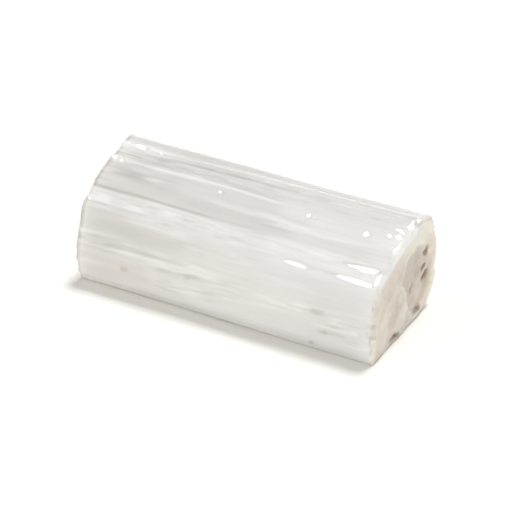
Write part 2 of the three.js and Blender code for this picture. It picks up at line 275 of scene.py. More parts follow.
# Ledges: end, depth, outline in y and z
LEDGES = [
    (1, 0.8, [(19.4, 17), (14.5, 22), (11, 24.5), (7.5, 26), (3.5, 25), (0.5, 23), (-1, 20), (-0.5, 16.5),
              (2.2, 10.6), (4, 6), (6.5, 3.4), (14, 4), (18, 7), (20.2, 12)]),
    (-1, 0.9, [(-19, 9), (-18, 18), (-12, 24), (-4, 27), (-1, 22), (-5, 15), (-9, 9), (-13, 5)]),
    (-1, 0.6, [(6, 30.5), (12.5, 30), (15.5, 24), (14, 16), (9, 15), (6.5, 21)]),
]
# Pits: end, y, z, half width, half height, depth
PITS = [
    (1, 15.3, 21.2, 1.0, 1.6, 1.3),
    (1, 13.9, 15.8, 1.3, 1.1, 1.0),
    (1, 15.4, 11.6, 1.8, 1.2, 1.3),
    (1, 9.3, 3.0, 2.3, 1.0, 0.9),
    (1, -6.4, 1.8, 2.6, 1.0, 0.9),
    (-1, 10.5, 22.5, 1.1, 2.0, 1.5),
    (-1, -11.0, 14.0, 1.8, 1.1, 1.4),
    (-1, 2.6, 9.0, 1.0, 2.2, 1.2),
]
PIT_ROUNDNESS, PIT_STAIN_REACH = 1.5, 1.8
# Bumps: end, y, z, radius, height; a ring of brown runs round each
BUMPS = [(1, 6.0, 12.0, 1.3, 0.7), (-1, -3.0, 17.0, 2.2, 0.25)]
BUMP_SPREAD, BUMP_STAIN, BUMP_RING = 1.4, 0.5, 1.1
# Tinted patches of the broken faces: end, y, z, half width, half height, tone (above zero paler)
PATCHES = [
    (1, 8.0, 28.0, 13.0, 5.5, 1.0),
    (1, -6.0, 16.0, 6.0, 11.0, -0.3),
    (1, -14.0, 8.0, 3.0, 8.0, 0.4),
    (1, 8.0, 17.0, 6.0, 5.0, -0.4),
    (1, 2.0, 5.0, 4.0, 5.0, -0.2),
    (-1, 8.0, 24.0, 9.0, 8.0, 0.8),
    (-1, -10.0, 10.0, 7.0, 8.0, -0.5),
    (-1, 6.0, 8.0, 7.0, 6.0, -0.3),
]
PATCH_SPREAD = 1.3
# Chips on the rims: end, distance around, half width, depth
CHIPS = [
    (1, 0.3, 1.3, 0.8),
    (1, 3.4, 0.9, 0.5),
    (1, 7.2, 1.3, 0.6),
    (1, 12.0, 1.8, 0.8),
    (1, 17.2, 1.2, 0.6),
    (1, 21.4, 1.6, 0.7),
    (1, 27.0, 2.0, 0.8),
    (1, 32.0, 2.2, 1.2),
    (1, 37.6, 1.5, 0.9),
    (1, 43.6, 1.9, 1.3),
    (1, 49.4, 2.3, 1.5),
    (1, 66.0, 2.6, 0.9),
    (1, 84.0, 2.2, 1.0),
    (-1, 0.5, 2.2, 1.2),
    (-1, 31.4, 1.5, 0.5),
    (-1, 47.0, 1.6, 0.5),
    (-1, 61.0, 2.8, 1.5),
    (-1, 80.0, 2.0, 1.2),
]
CHIP_STRETCH, CHIP_LIFT = 1.6, 0.45
# A dent on the top: x, distance around, half length, half width, depth
DENT = (22.4, 41.6, 1.5, 1.0, 0.5)
DENT_LIFT = 0.2
# Points nearer to a scoop's centre than this share of its size are moved as if they were this far
SMALLEST_OFFSET = 0.05
# Small flat facets where flakes came off, most of them at the near rim. Each is turned so that it
# mirrors the key light or the front light to the camera, as in the photo.
# Light, x, distance around, half length, half width, depth
FACETS = [
    ("key", -49.3, 26.6, 0.9, 0.7, 0.1),
    ("key", -49.0, 43.8, 1.2, 0.9, 0.15),
    ("key", -46.2, 43.2, 1.0, 0.6, 0.1),
    ("key", -48.6, 53.2, 0.9, 0.7, 0.15),
    ("key", -43.6, 52.9, 2.2, 0.9, 0.15),
    ("key", -36.0, 52.2, 0.9, 0.5, 0.1),
    ("key", -9.8, 41.2, 1.0, 0.7, 0.12),
    ("front", 24.2, 24.8, 5.4, 0.9, 0.1),
    ("front", 43.2, 24.9, 10.0, 1.1, 0.1),
    ("front", 44.6, 29.0, 7.4, 1.1, 0.06),
    ("front", 49.3, 27.0, 1.1, 2.6, 0.1),
    ("key", 19.9, 41.6, 1.0, 0.8, 0.1),
    ("key", 39.4, 40.7, 1.6, 1.1, 0.1),
    ("key", 46.0, 42.4, 1.2, 0.8, 0.15),
    ("key", 48.8, 42.8, 1.4, 0.9, 0.2),
    ("key", 47.9, 45.3, 2.0, 0.7, 0.2),
    ("key", 49.3, 48.6, 1.2, 2.6, 0.2),
    ("key", 49.9, 51.4, 0.7, 1.2, 0.2),
]
# How crisp a facet's edge is, the square of its reach in half lengths and widths, and how far off
# the plain section at its middle it still moves points
FACET_EDGE, FACET_SIZE, FACET_REACH = 2.0, 1.2, 1.5
# Roughness of the facets, and of the rest from its silkiest to its dullest streaks
FACET_ROUGHNESS, SILKY, DULL = 0.05, 0.18, 0.26

# How far in from its rim a broken face takes on its full colour, and how far its tint reaches out
# over the rim onto the sides
BROKEN_FADE, RIM_TINT_REACH = 0.8, 2.4
# Share of that tint on the right rim in front and behind, and how much of it the left rim has
RIM_SHARE, BACK_RIM_SHARE, LEFT_RIM_SHARE = 0.8, 0.95, 0.25
# Bands as distance around and width: the back of the rims, and their top, where a face takes on
# its colour only TOP_RIM_REACH inside its rim
BACK_RIM = (92.0, 120.0)
TOP_RIM, TOP_RIM_REACH = (38.0, 40.0), 2.0
# Only every so many points of a rim are tried when the nearest one to a place is looked for
RIM_SKIP = 4
# Tones of the two rims, of which the left one is darker: a painted dark outline of shade
RIGHT_RIM_TONE = -0.7
LEFT_RIM_PAINTED_SHADE, LEFT_RIM_WIDTH = -3.6, 2.4

# Colours, as stops of place and colour
BODY_STOPS = [(0.3, (0.795, 0.78, 0.755)), (0.5, (0.81, 0.797, 0.775)), (0.7, (0.825, 0.82, 0.8))]
TONE_STOPS = [(0.0, (0.6, 0.58, 0.55)), (0.5, (1, 1, 1)), (1.0, (1.22, 1.22, 1.22))]
GRAIN_STOPS = [(0.3, (0.98, 0.98, 0.978)), (0.5, (1, 1, 1)), (0.7, (1.02, 1.02, 1.022))]
END_STOPS = [(0.0, (0.56, 0.48, 0.4)), (0.5, (0.7, 0.63, 0.555)), (1.0, (0.755, 0.74, 0.65))]
# The crystal is warmer below WARM_HEIGHT and cooler towards its right end
WARM_STOPS = [(0.0, (1, 0.94, 0.87)), (0.2, (1, 0.98, 0.966)), (1.0, (1, 1, 1))]
COOL_STOPS = [(0.0, (1, 1, 1)), (1.0, (0.992, 1, 1.016))]
WARM_HEIGHT = 24.0
STAIN_COLOUR, STAIN_STRENGTH = (0.3, 0.21, 0.14, 1), 0.85
END_MOTTLE = 0.4
FLOOR_COLOUR = (0.97, 0.955, 0.915, 1)
# The range of tones that the ramps span
TONE_RANGE, END_TONE_RANGE = 3, 1
# Noise along the fibres, each as size across, size along, detail and shift
BODY_NOISE = (7.0, 45, 2, 0)
GRAIN_NOISE = (0.7, 9, 3, 5)
MOTTLE_NOISE = (3.5, 3.5, 3, 9)
SILK_NOISE = (0.6, 30, 3, 2)
# The part of its noise's range that the mottle and the silk follow
MOTTLE_SPAN, SILK_SPAN = (0.3, 0.7), (0.35, 0.65)
SILK_STRENGTH, SILK_HEIGHT = 0.12, 0.12
IOR, TRANSMISSION = 1.52, 0.12
# How far light scatters below the surface: by colour, and in millimetres
SCATTER_RADIUS, SCATTER_SCALE = (1.0, 0.98, 0.95), 8.0
FLOOR_ROUGHNESS, FLOOR_SHINE = 0.9, 0.1

# Surroundings
WORLD_HORIZON, WORLD_ZENITH, WORLD_BACK_SHARE = 2.5, 0.46, 0.6
HORIZON_REACH = 0.5
KEY_DIRECTION, KEY_STRENGTH, KEY_ANGLE = (0.04, 0.4, 1.0), 2.02, 14.0
# The front light and the floor, in metres
FRONT_LIGHT_PLACE, FRONT_LIGHT_POWER = (-0.32113, -0.2401, 0.91937), 0.26
FRONT_LIGHT_WIDTH, FRONT_LIGHT_HEIGHT = 0.09, 0.054
FLOOR_HALF_SIZE = 6.0

# Mesh spacing
COLUMN_STEP = 0.29
ROW_STEP_LONG, ROW_STEP_SHORT, ROW_END_REACH = 1.4, 0.35, 7.0
# Marks whose half length is under this get close rows
SMALL_MARK = 4.0
# Spacing of the points of a broken face, how much they are shifted at random and how far they stay
# from the rim, as shares of it
END_STEP, END_JITTER, END_MARGIN = 0.44, 0.25, 0.6


def mix(a, b, t):
    return a + (b - a) * t


def smooth(t):
    t = np.clip(t, 0, 1)
    return t * t * (3 - 2 * t)


class Section:
    """The log's section: where a distance around it and a share of the length lie."""

    def __init__(self):
        self.left = np.array([left for left, _ in LONG_EDGES.values()])
        self.right = np.array([right for _, right in LONG_EDGES.values()])
        middle = (self.left + self.right) / 2
        steps = np.linalg.norm(np.roll(middle, -1, 0) - middle, axis=1)
        self.knots = np.concatenate([[0], np.cumsum(steps)])
        self.girth = self.knots[-1]

    def plain(self, around, share):
        """The section's facets, with their edges slightly rounded."""
        places = [self.facets(around + step * EDGE_SOFTNESS, share) for step in (-1, -0.5, 0, 0.5, 1)]
        return np.mean(places, axis=0)

    def facets(self, around, share):
        """The section with sharp edges."""
        place = np.mod(around, self.girth)
        point = []
        for axis in (0, 1):
            left = np.interp(place, self.knots, np.append(self.left[:, axis], self.left[0, axis]))
            right = np.interp(place, self.knots, np.append(self.right[:, axis], self.right[0, axis]))
            point.append(mix(left, right, share))
        return point

    def outward(self, around, share):
        """The direction out of the section, as y and z."""
        reach = 0.8
        y0, z0 = self.plain(around - reach, share)
        y1, z1 = self.plain(around + reach, share)
        size = np.hypot(y1 - y0, z1 - z0)
        return -(z1 - z0) / size, (y1 - y0) / size


section = Section()
rng = np.random.default_rng(SEED)


def scatter(number):
    """The same repeatable numbers from 0 to 1 as the CAD solid's."""
    wave = math.sin(number * 12.9898 + 4.1) * 43758.5453
    return wave - math.floor(wave)


def ribs(start, end, pitch, width, height):
    """Ridges at about an even pitch, some of which end part of the way along."""
    count = math.floor((end - start) / pitch)
    made = []
    for i in range(count):
        around = start + (i + 0.5 + RIB_SHIFT * (scatter(i + count) - 0.5)) * pitch
        tall = height * mix(LOWEST_RIB, 1, scatter(i * RIB_KINDS + count))
        first = mix(-LENGTH / 2, 0, scatter(i + 2 * count)) if i % RIB_KINDS == 1 else -FULL
        last = mix(0, LENGTH / 2, scatter(i + 3 * count)) if i % RIB_KINDS == 2 else FULL
        made.append((around, width, tall, first, last))
    return made


def lattice_noise(around, x, around_step, x_step):
    """Smooth unevenness from -1 to 1 that closes on itself round the girth."""
    columns = max(3, round(section.girth / around_step))
    rows = math.ceil(NOISE_SPAN / x_step) + 2
    values = rng.uniform(-1, 1, (rows, columns))
    u = np.mod(around / section.girth, 1) * columns
    v = np.clip(x / NOISE_SPAN + 0.5, 0, 1) * (rows - 2)
    i, j = np.floor(v).astype(int), np.floor(u).astype(int)
    fi, fj = smooth(v - i), smooth(u - j)
    j %= columns
    k = (j + 1) % columns
    low = mix(values[i, j], values[i, k], fj)
    high = mix(values[i + 1, j], values[i + 1, k], fj)
    return mix(low, high, fi)


def uneven(around, x, settings):
    """Unevenness by one of the settings that give an amount, a size around and a size along."""
    amount, around_step, x_step = settings
    return amount * lattice_noise(around, x, around_step, x_step)


def band_shape(around, x, band, lean=0.5):
    """How strongly a ridge, streak or other band shows at a place, from 0 to 1."""
    place, width, first, last = band
    off = np.mod(around - place + section.girth / 2, section.girth) - section.girth / 2
    across = off / width + 0.5
    tent = smooth(np.minimum(across / lean, (1 - across) / (1 - lean)))
    rise = smooth((x - first + RIDGE_FADE) / (2 * RIDGE_FADE))
    fall = smooth((last + RIDGE_FADE - x) / (2 * RIDGE_FADE))
    return tent * rise * fall


def flutes():
    """Narrow random ridges and grooves that run for part of the length."""
    made = []
    for _ in range(FLUTE_COUNT):
        middle = rng.uniform(-FLUTE_SPAN, FLUTE_SPAN)
        half = rng.uniform(*FLUTE_HALF)
        height = rng.uniform(LOWEST_FLUTE, 1) * FLUTE_HEIGHT * rng.choice((-1, 1))
        width = rng.uniform(*FLUTE_WIDTH)
        lean = rng.choice(FLUTE_LEANS)
        around = rng.uniform(0, section.girth)
        made.append(((around, width, height, middle - half, middle + half), lean))
    return made


def back_streaks():
    """Random paler and duller streaks on the back, from the top's far edge to the underside."""
    own_rng = np.random.default_rng(SEED)
    made = []
    for _ in range(BACK_STREAK_COUNT):
        middle = own_rng.uniform(-LENGTH / 2, LENGTH / 2)
        half = own_rng.uniform(*BACK_STREAK_HALF)
        shade = BACK_STREAK_TONE * own_rng.uniform(WEAKEST_STREAK, 1) * own_rng.choice((-1, 1))
        place = own_rng.uniform(BACK_START, REST_START)
        width = own_rng.uniform(*BACK_STREAK_WIDTH)
        made.append((place, width, middle - half, middle + half, shade))
    return made


def fleck_noise(around, x):
    """Short flecks: above zero for pale ones, below for dull ones."""
    noise = lattice_noise(around, x, *FLECK_SIZE)
    return sum(
        shade * smooth((noise - start) / (full - start)) for start, full, shade in (PALE_FLECK, DULL_FLECK)
    )


def relief(around, x):
    """Height of the ridges above the facets, and their tone with painted light: above zero on crests
    (painted highlight), below in grooves (painted shade).
    """
    main = RIDGES + ribs(BACK_START, BACK_END, BACK_PITCH, BACK_WIDTH, BACK_HEIGHT)
    main += ribs(REST_START, REST_END, REST_PITCH, REST_WIDTH, REST_HEIGHT)
    moved = around + uneven(around, x, WANDER)
    ridge_strength = 1 + uneven(around, x, UNEVEN_RIDGES)
    height = SWELL_HEIGHT * np.sin(around * SWELL_AROUND + x * SWELL_ALONG)
    tone = np.zeros(around.shape)
    patchy = 1 + uneven(around, x, PATCHY_STREAKS)
    flecks = patchy * fleck_noise(moved, x)
    for *band, shade in STREAKS_AND_PAINTED_LIGHT + back_streaks():
        _, width, _, _ = band
        tone += shade * (patchy if width < BROAD_STREAK else 1) * band_shape(moved, x, band)
    for *band, strength in FLECKS:
        tone += strength * band_shape(moved, x, band) * flecks
    for (place, width, tall, first, last), lean in [(ridge, 0.5) for ridge in main] + flutes():
        rise = tall * ridge_strength * band_shape(moved, x, (place, width, first, last), lean)
        height += rise
        # Painted highlight on crests, painted shade in grooves
        tone += rise * RIDGE_PAINTED_LIGHT_AND_SHADE
    for wave in WAVES:
        height += uneven(around, x, wave)
    return height, TONE_LIMIT * np.tanh(tone / TONE_LIMIT)


def polygon_depth(y, z, outline):
    """Distance inside an outline (above zero inside, below zero outside)."""
    points = np.array(outline, float)
    nearest = np.full(y.shape, 1e9)
    inside = np.zeros(y.shape, bool)
    for (y0, z0), (y1, z1) in zip(points, np.roll(points, -1, 0)):
        dy, dz = y1 - y0, z1 - z0
        part = np.clip(((y - y0) * dy + (z - z0) * dz) / (dy * dy + dz * dz), 0, 1)
        nearest = np.minimum(nearest, np.hypot(y - y0 - part * dy, z - z0 - part * dz))
        crosses = (z0 > z) != (z1 > z)
        if dz:
            inside ^= crosses & (y < y0 + (z - z0) * dy / dz)
    return np.where(inside, nearest, -nearest)


def grid_noise(grid, size, y, z):
    """Smooth unevenness from -1 to 1 over a broken end."""
    u, v = (y - END_GRID_LOW[0]) / size, (z - END_GRID_LOW[1]) / size
    i, j = np.floor(u).astype(int), np.floor(v).astype(int)
    fi, fj = smooth(u - i), smooth(v - j)
    low = mix(grid[i, j], grid[i + 1, j], fi)
    high = mix(grid[i, j + 1], grid[i + 1, j + 1], fi)
    return mix(low, high, fj)


def spread(a, b, middle_a, middle_b, half_a, half_b):
    """Distance from the middle of an oval mark, where 1 is its edge."""
    return np.hypot((a - middle_a) / half_a, (b - middle_b) / half_b)


class BrokenEnd:
    """How far a broken end lies inside the log's full length, at a place (y, z) on it."""

    def __init__(self, end):
        self.end = end
        self.grids = [self.grid(size, rng) for _, size in LUMPS]
        own_rng = np.random.default_rng(SEED + end)
        self.shifts = [[self.grid(size, own_rng) for _ in range(2)] for _, size in WOBBLES]

    def grid(self, size, source):
        count = int(END_GRID_SPAN / size)
        return source.uniform(-1, 1, (count, count))

    def lumps(self, y, z):
        pairs = zip(LUMPS, self.grids)
        return sum(height * grid_noise(grid, size, y, z) for (height, size), grid in pairs)

    def wobbled(self, y, z):
        """The place moved a little to and fro, which makes ledges and pits uneven."""
        moves = [0, 0]
        for (reach, size), grids in zip(WOBBLES, self.shifts):
            moves = [move + reach * grid_noise(grid, size, y, z) for move, grid in zip(moves, grids)]
        return y + moves[0], z + moves[1]

    def bulge(self, y, z):
        """The slow unevenness of the whole face."""
        share, y_pace, z_pace = SLOW_BULGE
        slow = share * (np.sin(y * y_pace + self.end) + np.cos(z * z_pace + self.end * 2))
        share, y_pace, z_pace = QUICK_BULGE
        quick = share * np.sin(y * y_pace - z * z_pace + self.end * 3)
        return END_UNEVENNESS * (1 + slow + quick)

    def sunk(self, y, z, outline):
        """How far a place lies in a ledge, from 0 to 1."""
        slope = LEDGE_SLOPE * (1 + LEDGE_EASE * np.maximum(y - LEDGE_EASE_FROM, 0))
        return smooth(polygon_depth(y, z, outline) / slope + 0.5)

    def own(self, marks):
        """Those of a list of marks that lie on this end, without the end's number."""
        return [mark for end, *mark in marks if end == self.end]

    def inset(self, real_y, real_z):
        y, z = self.wobbled(real_y, real_z)
        inset = self.bulge(y, z)
        for depth, outline in self.own(LEDGES):
            inset = mix(inset, END_UNEVENNESS + depth, self.sunk(y, z, outline))
        inset = inset + self.lumps(y, z)
        for *place, depth in self.own(PITS):
            inset = inset + depth * np.clip(1 - spread(y, z, *place) ** 2, 0, 1) ** PIT_ROUNDNESS
        for bump_y, bump_z, radius, height in self.own(BUMPS):
            inset = inset - height * smooth(BUMP_SPREAD - spread(y, z, bump_y, bump_z, radius, radius))
        return np.maximum(inset, 0)

    def tints(self, real_y, real_z):
        """How pale the face is, with painted shade and highlights at ledges, and how much brown stains it.
        """
        y, z = self.wobbled(real_y, real_z)
        tone, stain = np.zeros(y.shape), np.zeros(y.shape)
        for *place, shade in self.own(PATCHES):
            tone += shade * smooth(PATCH_SPREAD - spread(y, z, *place))
        for *place, _ in self.own(PITS):
            stain += smooth(PIT_STAIN_REACH - spread(y, z, *place))
        for _, outline in self.own(LEDGES):
            # Painted shade in a ledge's sunk part and a painted highlight along its edge
            edge = smooth(1 - np.abs(polygon_depth(y, z, outline) + EDGE_WIDTH) / EDGE_WIDTH)
            tone += SUNK_PAINTED_SHADE * self.sunk(y, z, outline) + EDGE_PAINTED_HIGHLIGHT * edge
        for bump_y, bump_z, radius, _ in self.own(BUMPS):
            off_ring = spread(y, z, bump_y, bump_z, radius, radius) - BUMP_RING
            stain += BUMP_STAIN * smooth(1 - 2 * np.abs(off_ring))
        return tone, np.minimum(stain, 1)


broken = {end: BrokenEnd(end) for end in (-1, 1)}


def row_places():
    """Places along the log between its rounded rims, close together at its ends and small marks."""
    spots = [DENT] + [facet[1:] for facet in FACETS]
    marks = [(x, half) for x, _, half, *_ in spots if half < SMALL_MARK]
    last = LENGTH / 2 - RIM_RADIUS * RIM_MARGIN
    places = [-last]
    while places[-1] < last:
        here = places[-1]
        near_end = LENGTH / 2 - abs(here) < ROW_END_REACH
        near_mark = any(-half - ROW_STEP_LONG < here - x < half for x, half in marks)
        places.append(here + (ROW_STEP_SHORT if near_end or near_mark else ROW_STEP_LONG))
    places[-1] = last
    return places


def camera_back():
    """The direction from the camera's target to the camera."""
    a, e = math.radians(CAMERA_AZIMUTH), math.radians(CAMERA_ELEVATION)
    return Vector((math.sin(a) * math.cos(e), -math.cos(a) * math.cos(e), math.sin(e)))


def mirror_direction(place, light):
    """The direction that a facet faces to mirror a light to the camera."""
    to_camera = Vector(CAMERA_TARGET) + camera_back() * CAMERA_DISTANCE - place
    to_light = Vector(KEY_DIRECTION) if light == "key" else Vector(FRONT_LIGHT_PLACE) / MM - place
    return (to_camera.normalized() + to_light.normalized()).normalized()


def flatten_all(x, y, z, inward, unevenness):
    """Lays the small facets: moves points onto their planes. Gives y, z and where the facets are."""
    flat = np.zeros(x.shape)
    for light, facet_x, around, half_length, half_width, depth in FACETS:
        share = facet_x / LENGTH + 0.5
        centre_y, centre_z = section.plain(around, share)
        out_y, out_z = section.outward(around, share)
        facing = mirror_direction(Vector((facet_x, centre_y, centre_z)), light)
        facing_around = facing.y * out_z - facing.z * out_y
        facing_out = facing.y * out_y + facing.z * out_z
        off_x = x - facet_x
        off_around = (y - centre_y) * out_z - (z - centre_z) * out_y
        off_out = (y - centre_y) * out_y + (z - centre_z) * out_z
        size = FACET_SIZE + unevenness
        weight = smooth(FACET_EDGE * (size - (off_x / half_length) ** 2 - (off_around / half_width) ** 2))
        plane = -(facing_around * off_around + facing.x * off_x) / facing_out - depth
        near = np.abs(off_out) < FACET_REACH
        moved = np.where(near, (plane - off_out) * weight, 0)
        moved = np.where(inward > 0, np.minimum(moved, 0), moved)
        y, z = y + moved * out_y, z + moved * out_z
        flat = np.maximum(flat, np.where(near, weight, 0))
    return y, z, flat


def row_rims(around):
    """Each row's place along the log and how far in from the sides it lies, round the log."""
    turns = np.linspace(0, math.pi / 2, RIM_STEPS)
    _, up = section.outward(around, 0.5)
    rim = RIM_RADIUS * (1 + uneven(around, np.zeros(around.shape), UNEVEN_RIM))
    rim = rim * mix(1, LOW_RIM_SHARE, smooth(-up))
    curve = [(rim * (1 - math.cos(turn)), rim * (1 - math.sin(turn))) for turn in turns]
    rows = [(inset - LENGTH / 2, inward) for inset, inward in curve]
    rows += [(np.full(around.shape, place), np.zeros(around.shape)) for place in row_places()]
    rows += [(LENGTH / 2 - inset, inward) for inset, inward in reversed(curve)]
    return (np.array(part) for part in zip(*rows))


def rim_tints(around, x, tone):
    """The tone with the rims' own added, the left one painted shade, and how much of a broken face's colour
    lies on the sides.
    """
    left_painted_shade = LEFT_RIM_PAINTED_SHADE * (1 + uneven(around, x, UNEVEN_LEFT_RIM))
    # Painted shade: a dark outline along the left rim
    tone = tone + left_painted_shade * smooth((LEFT_RIM_WIDTH - x - LENGTH / 2) / LEFT_RIM_WIDTH)
    near_rim = smooth((np.abs(x) - LENGTH / 2 + RIM_TINT_REACH) / RIM_TINT_REACH)
    behind = band_shape(around, x, (*BACK_RIM, -FULL, FULL))
    unevenness = 1 + uneven(around, x, UNEVEN_TINT)
    off_top = 1 - band_shape(around, x, (*TOP_RIM, -FULL, FULL))
    on_end = near_rim * np.clip(mix(RIM_SHARE, BACK_RIM_SHARE, behind) * unevenness, 0, 1)
    on_end = on_end * off_top * np.where(x < 0, LEFT_RIM_SHARE, 1)
    return tone + RIGHT_RIM_TONE * near_rim * off_top * (x > 0), on_end


def side_points(around):
    """Rows of points from one rim to the other, each row once round the log, with their tints."""
    x, inward = row_rims(around)
    around = np.broadcast_to(around, x.shape)
    share = x / LENGTH + 0.5
    height, tone = relief(around, x)
    y, z = section.plain(around, share)
    out_y, out_z = section.outward(around, share)
    y = y + out_y * (height - inward)
    z = np.maximum(z + out_z * height, 0) - out_z * inward
    y, z, flat = flatten_all(x, y, z, inward, uneven(around, x, UNEVEN_FACETS))
    for end in (-1, 1):
        near_end = smooth((end * x - LENGTH / 2 + END_REACH) / END_REACH)
        x = x - end * near_end * broken[end].inset(y, z)
    stain = np.zeros(x.shape)
    for *place, strength in SPECKS:
        stain += strength * smooth(SPECK_SPREAD - spread(x, around, *place))
    tone, on_end = rim_tints(around, x, tone)
    return np.stack([x, y, z], -1), {"tone": tone, "stain": stain, "broken": on_end, "flat": flat}


def scoop(points, centre, out_y, out_z, half):
    """Pushes points that lie inside an ellipsoid out to its surface: a shell-shaped chip."""
    offset = points - centre
    local = np.stack([
        offset[..., 0],
        offset[..., 1] * out_z - offset[..., 2] * out_y,
        offset[..., 1] * out_y + offset[..., 2] * out_z,
    ], -1) / half
    size = np.linalg.norm(local, axis=-1)
    stretch = np.where(size < 1, 1 / np.maximum(size, SMALLEST_OFFSET), 1)[..., None]
    return centre + offset * stretch


def chip_all(points):
    """Takes the chips and the dent out of the log."""
    for end, around, half_width, depth in CHIPS:
        share = (end + 1) / 2
        y, z = section.plain(around, share)
        out_y, out_z = section.outward(around, share)
        lift = depth * CHIP_LIFT
        centre = np.array([end * (LENGTH / 2 - END_UNEVENNESS + lift), y + out_y * lift, z + out_z * lift])
        half = np.array([depth * CHIP_STRETCH, half_width, depth])
        points = scoop(points, centre, out_y, out_z, half)
    x, around, *half = DENT
    y, z = section.plain(around, x / LENGTH + 0.5)
    out_y, out_z = section.outward(around, x / LENGTH + 0.5)
    centre = np.array([x, y + out_y * DENT_LIFT, z + out_z * DENT_LIFT])
    return scoop(points, centre, out_y, out_z, np.array(half))


def scattered_places(rim):
    """Places inside a rim, in slightly uneven rows."""
    low, high = rim.min(0), rim.max(0)
    rows = np.arange(low[1], high[1], END_STEP * math.sqrt(3) / 2)
    columns = np.arange(low[0], high[0], END_STEP)
    y, z = np.meshgrid(columns, rows)
    y = y + (np.arange(len(rows)) % 2)[:, None] * END_STEP / 2
    y = y + rng.uniform(-END_JITTER, END_JITTER, y.shape) * END_STEP
    z = z + rng.uniform(-END_JITTER, END_JITTER, z.shape) * END_STEP
    keep = polygon_depth(y, z, rim) > END_STEP * END_MARGIN
    return y[keep], z[keep]


def cap(end, rim):
    """Points and triangles that close an end inside its rim, given in y and z."""
    y, z = scattered_places(rim)
    x = end * (LENGTH / 2 - broken[end].inset(y, z))
    count = len(rim)
    flat = [Vector(place) for place in rim] + [Vector(place) for place in zip(y, z)]
    loop = [(i, (i + 1) % count) for i in range(count)]
    inside_only, tolerance = 1, 1e-5
    made = delaunay_2d_cdt(flat, loop, [], inside_only, tolerance)
    if len(made[0]) != len(flat):
        raise ValueError("the rim of an end crosses itself")
    origins = [origin[0] for origin in made[3]]
    faces = []
    for face in made[2]:
        corners = [origins[i] for i in face]
        a, b, c = (flat[i] for i in corners)
        turn = (b - a).cross(c - a)
        if (turn > 0) != (end > 0):
            corners.reverse()
        faces.append(corners)
    return np.column_stack([x, y, z]), faces


def around_rim(points, rim):
    """Index of the rim point nearest to each point of a broken face."""
    gaps = points[:, None] - rim[None, ::RIM_SKIP]
    return RIM_SKIP * np.argmin((gaps ** 2).sum(2), axis=1)


def cap_values(end, inner, rim, rim_around, rim_broken):
    """The tints of a broken face's points, whose colour starts inside the rim over the top."""
    depth = polygon_depth(inner[:, 1], inner[:, 2], rim)
    nearest = around_rim(inner[:, 1:], rim)
    start = TOP_RIM_REACH * band_shape(rim_around[nearest], inner[:, 0], (*TOP_RIM, -FULL, FULL))
    on_end = mix(rim_broken[nearest], 1, smooth((depth - start) / BROKEN_FADE))
    tone, stain = broken[end].tints(inner[:, 1], inner[:, 2])
    return {"tone": tone, "stain": stain, "broken": on_end, "flat": np.zeros(len(inner))}


def crystal_mesh():
    """Points, faces and tints of the closed log."""
    columns = round(section.girth / COLUMN_STEP)
    around = np.arange(columns) * section.girth / columns
    sides, values = side_points(around)
    rows = len(sides)
    faces = []
    for r in range(rows - 1):
        for c in range(columns):
            here, beside = r * columns + c, r * columns + (c + 1) % columns
            faces.append((here, here + columns, beside + columns, beside))
    points = [sides.reshape(-1, 3)]
    parts = {name: [numbers.ravel()] for name, numbers in values.items()}
    used = rows * columns
    for end, row in ((-1, 0), (1, rows - 1)):
        rim = sides[row][:, 1:]
        inner, triangles = cap(end, rim)
        for triangle in triangles:
            faces.append(tuple(row * columns + i if i < columns else used + i - columns for i in triangle))
        points.append(inner)
        for name, numbers in cap_values(end, inner, rim, around, values["broken"][row]).items():
            parts[name].append(numbers)
        used += len(inner)
    points = chip_all(np.concatenate(points))
    return points, faces, {name: np.concatenate(pieces) for name, pieces in parts.items()}


def crystal_piece():
    """The crystal as a piece, its box's bottom centre at the origin."""
    points, faces, values = crystal_mesh()
    centre = (points.min(0) + points.max(0)) / 2
    centre[2] = points[:, 2].min()
    mesh = bpy.data.meshes.new("crystal_surface")
    mesh.from_pydata(((points - centre) * MM).tolist(), [], faces)
    mesh.validate()
    for name, numbers in values.items():
        attribute = mesh.attributes.new(name, "FLOAT", "POINT")
        attribute.data.foreach_set("value", numbers.astype(np.float32))
    mesh.shade_smooth()
    piece = bpy.data.objects.new("crystal_surface", mesh)
    bpy.context.scene.collection.objects.link(piece)
    return piece


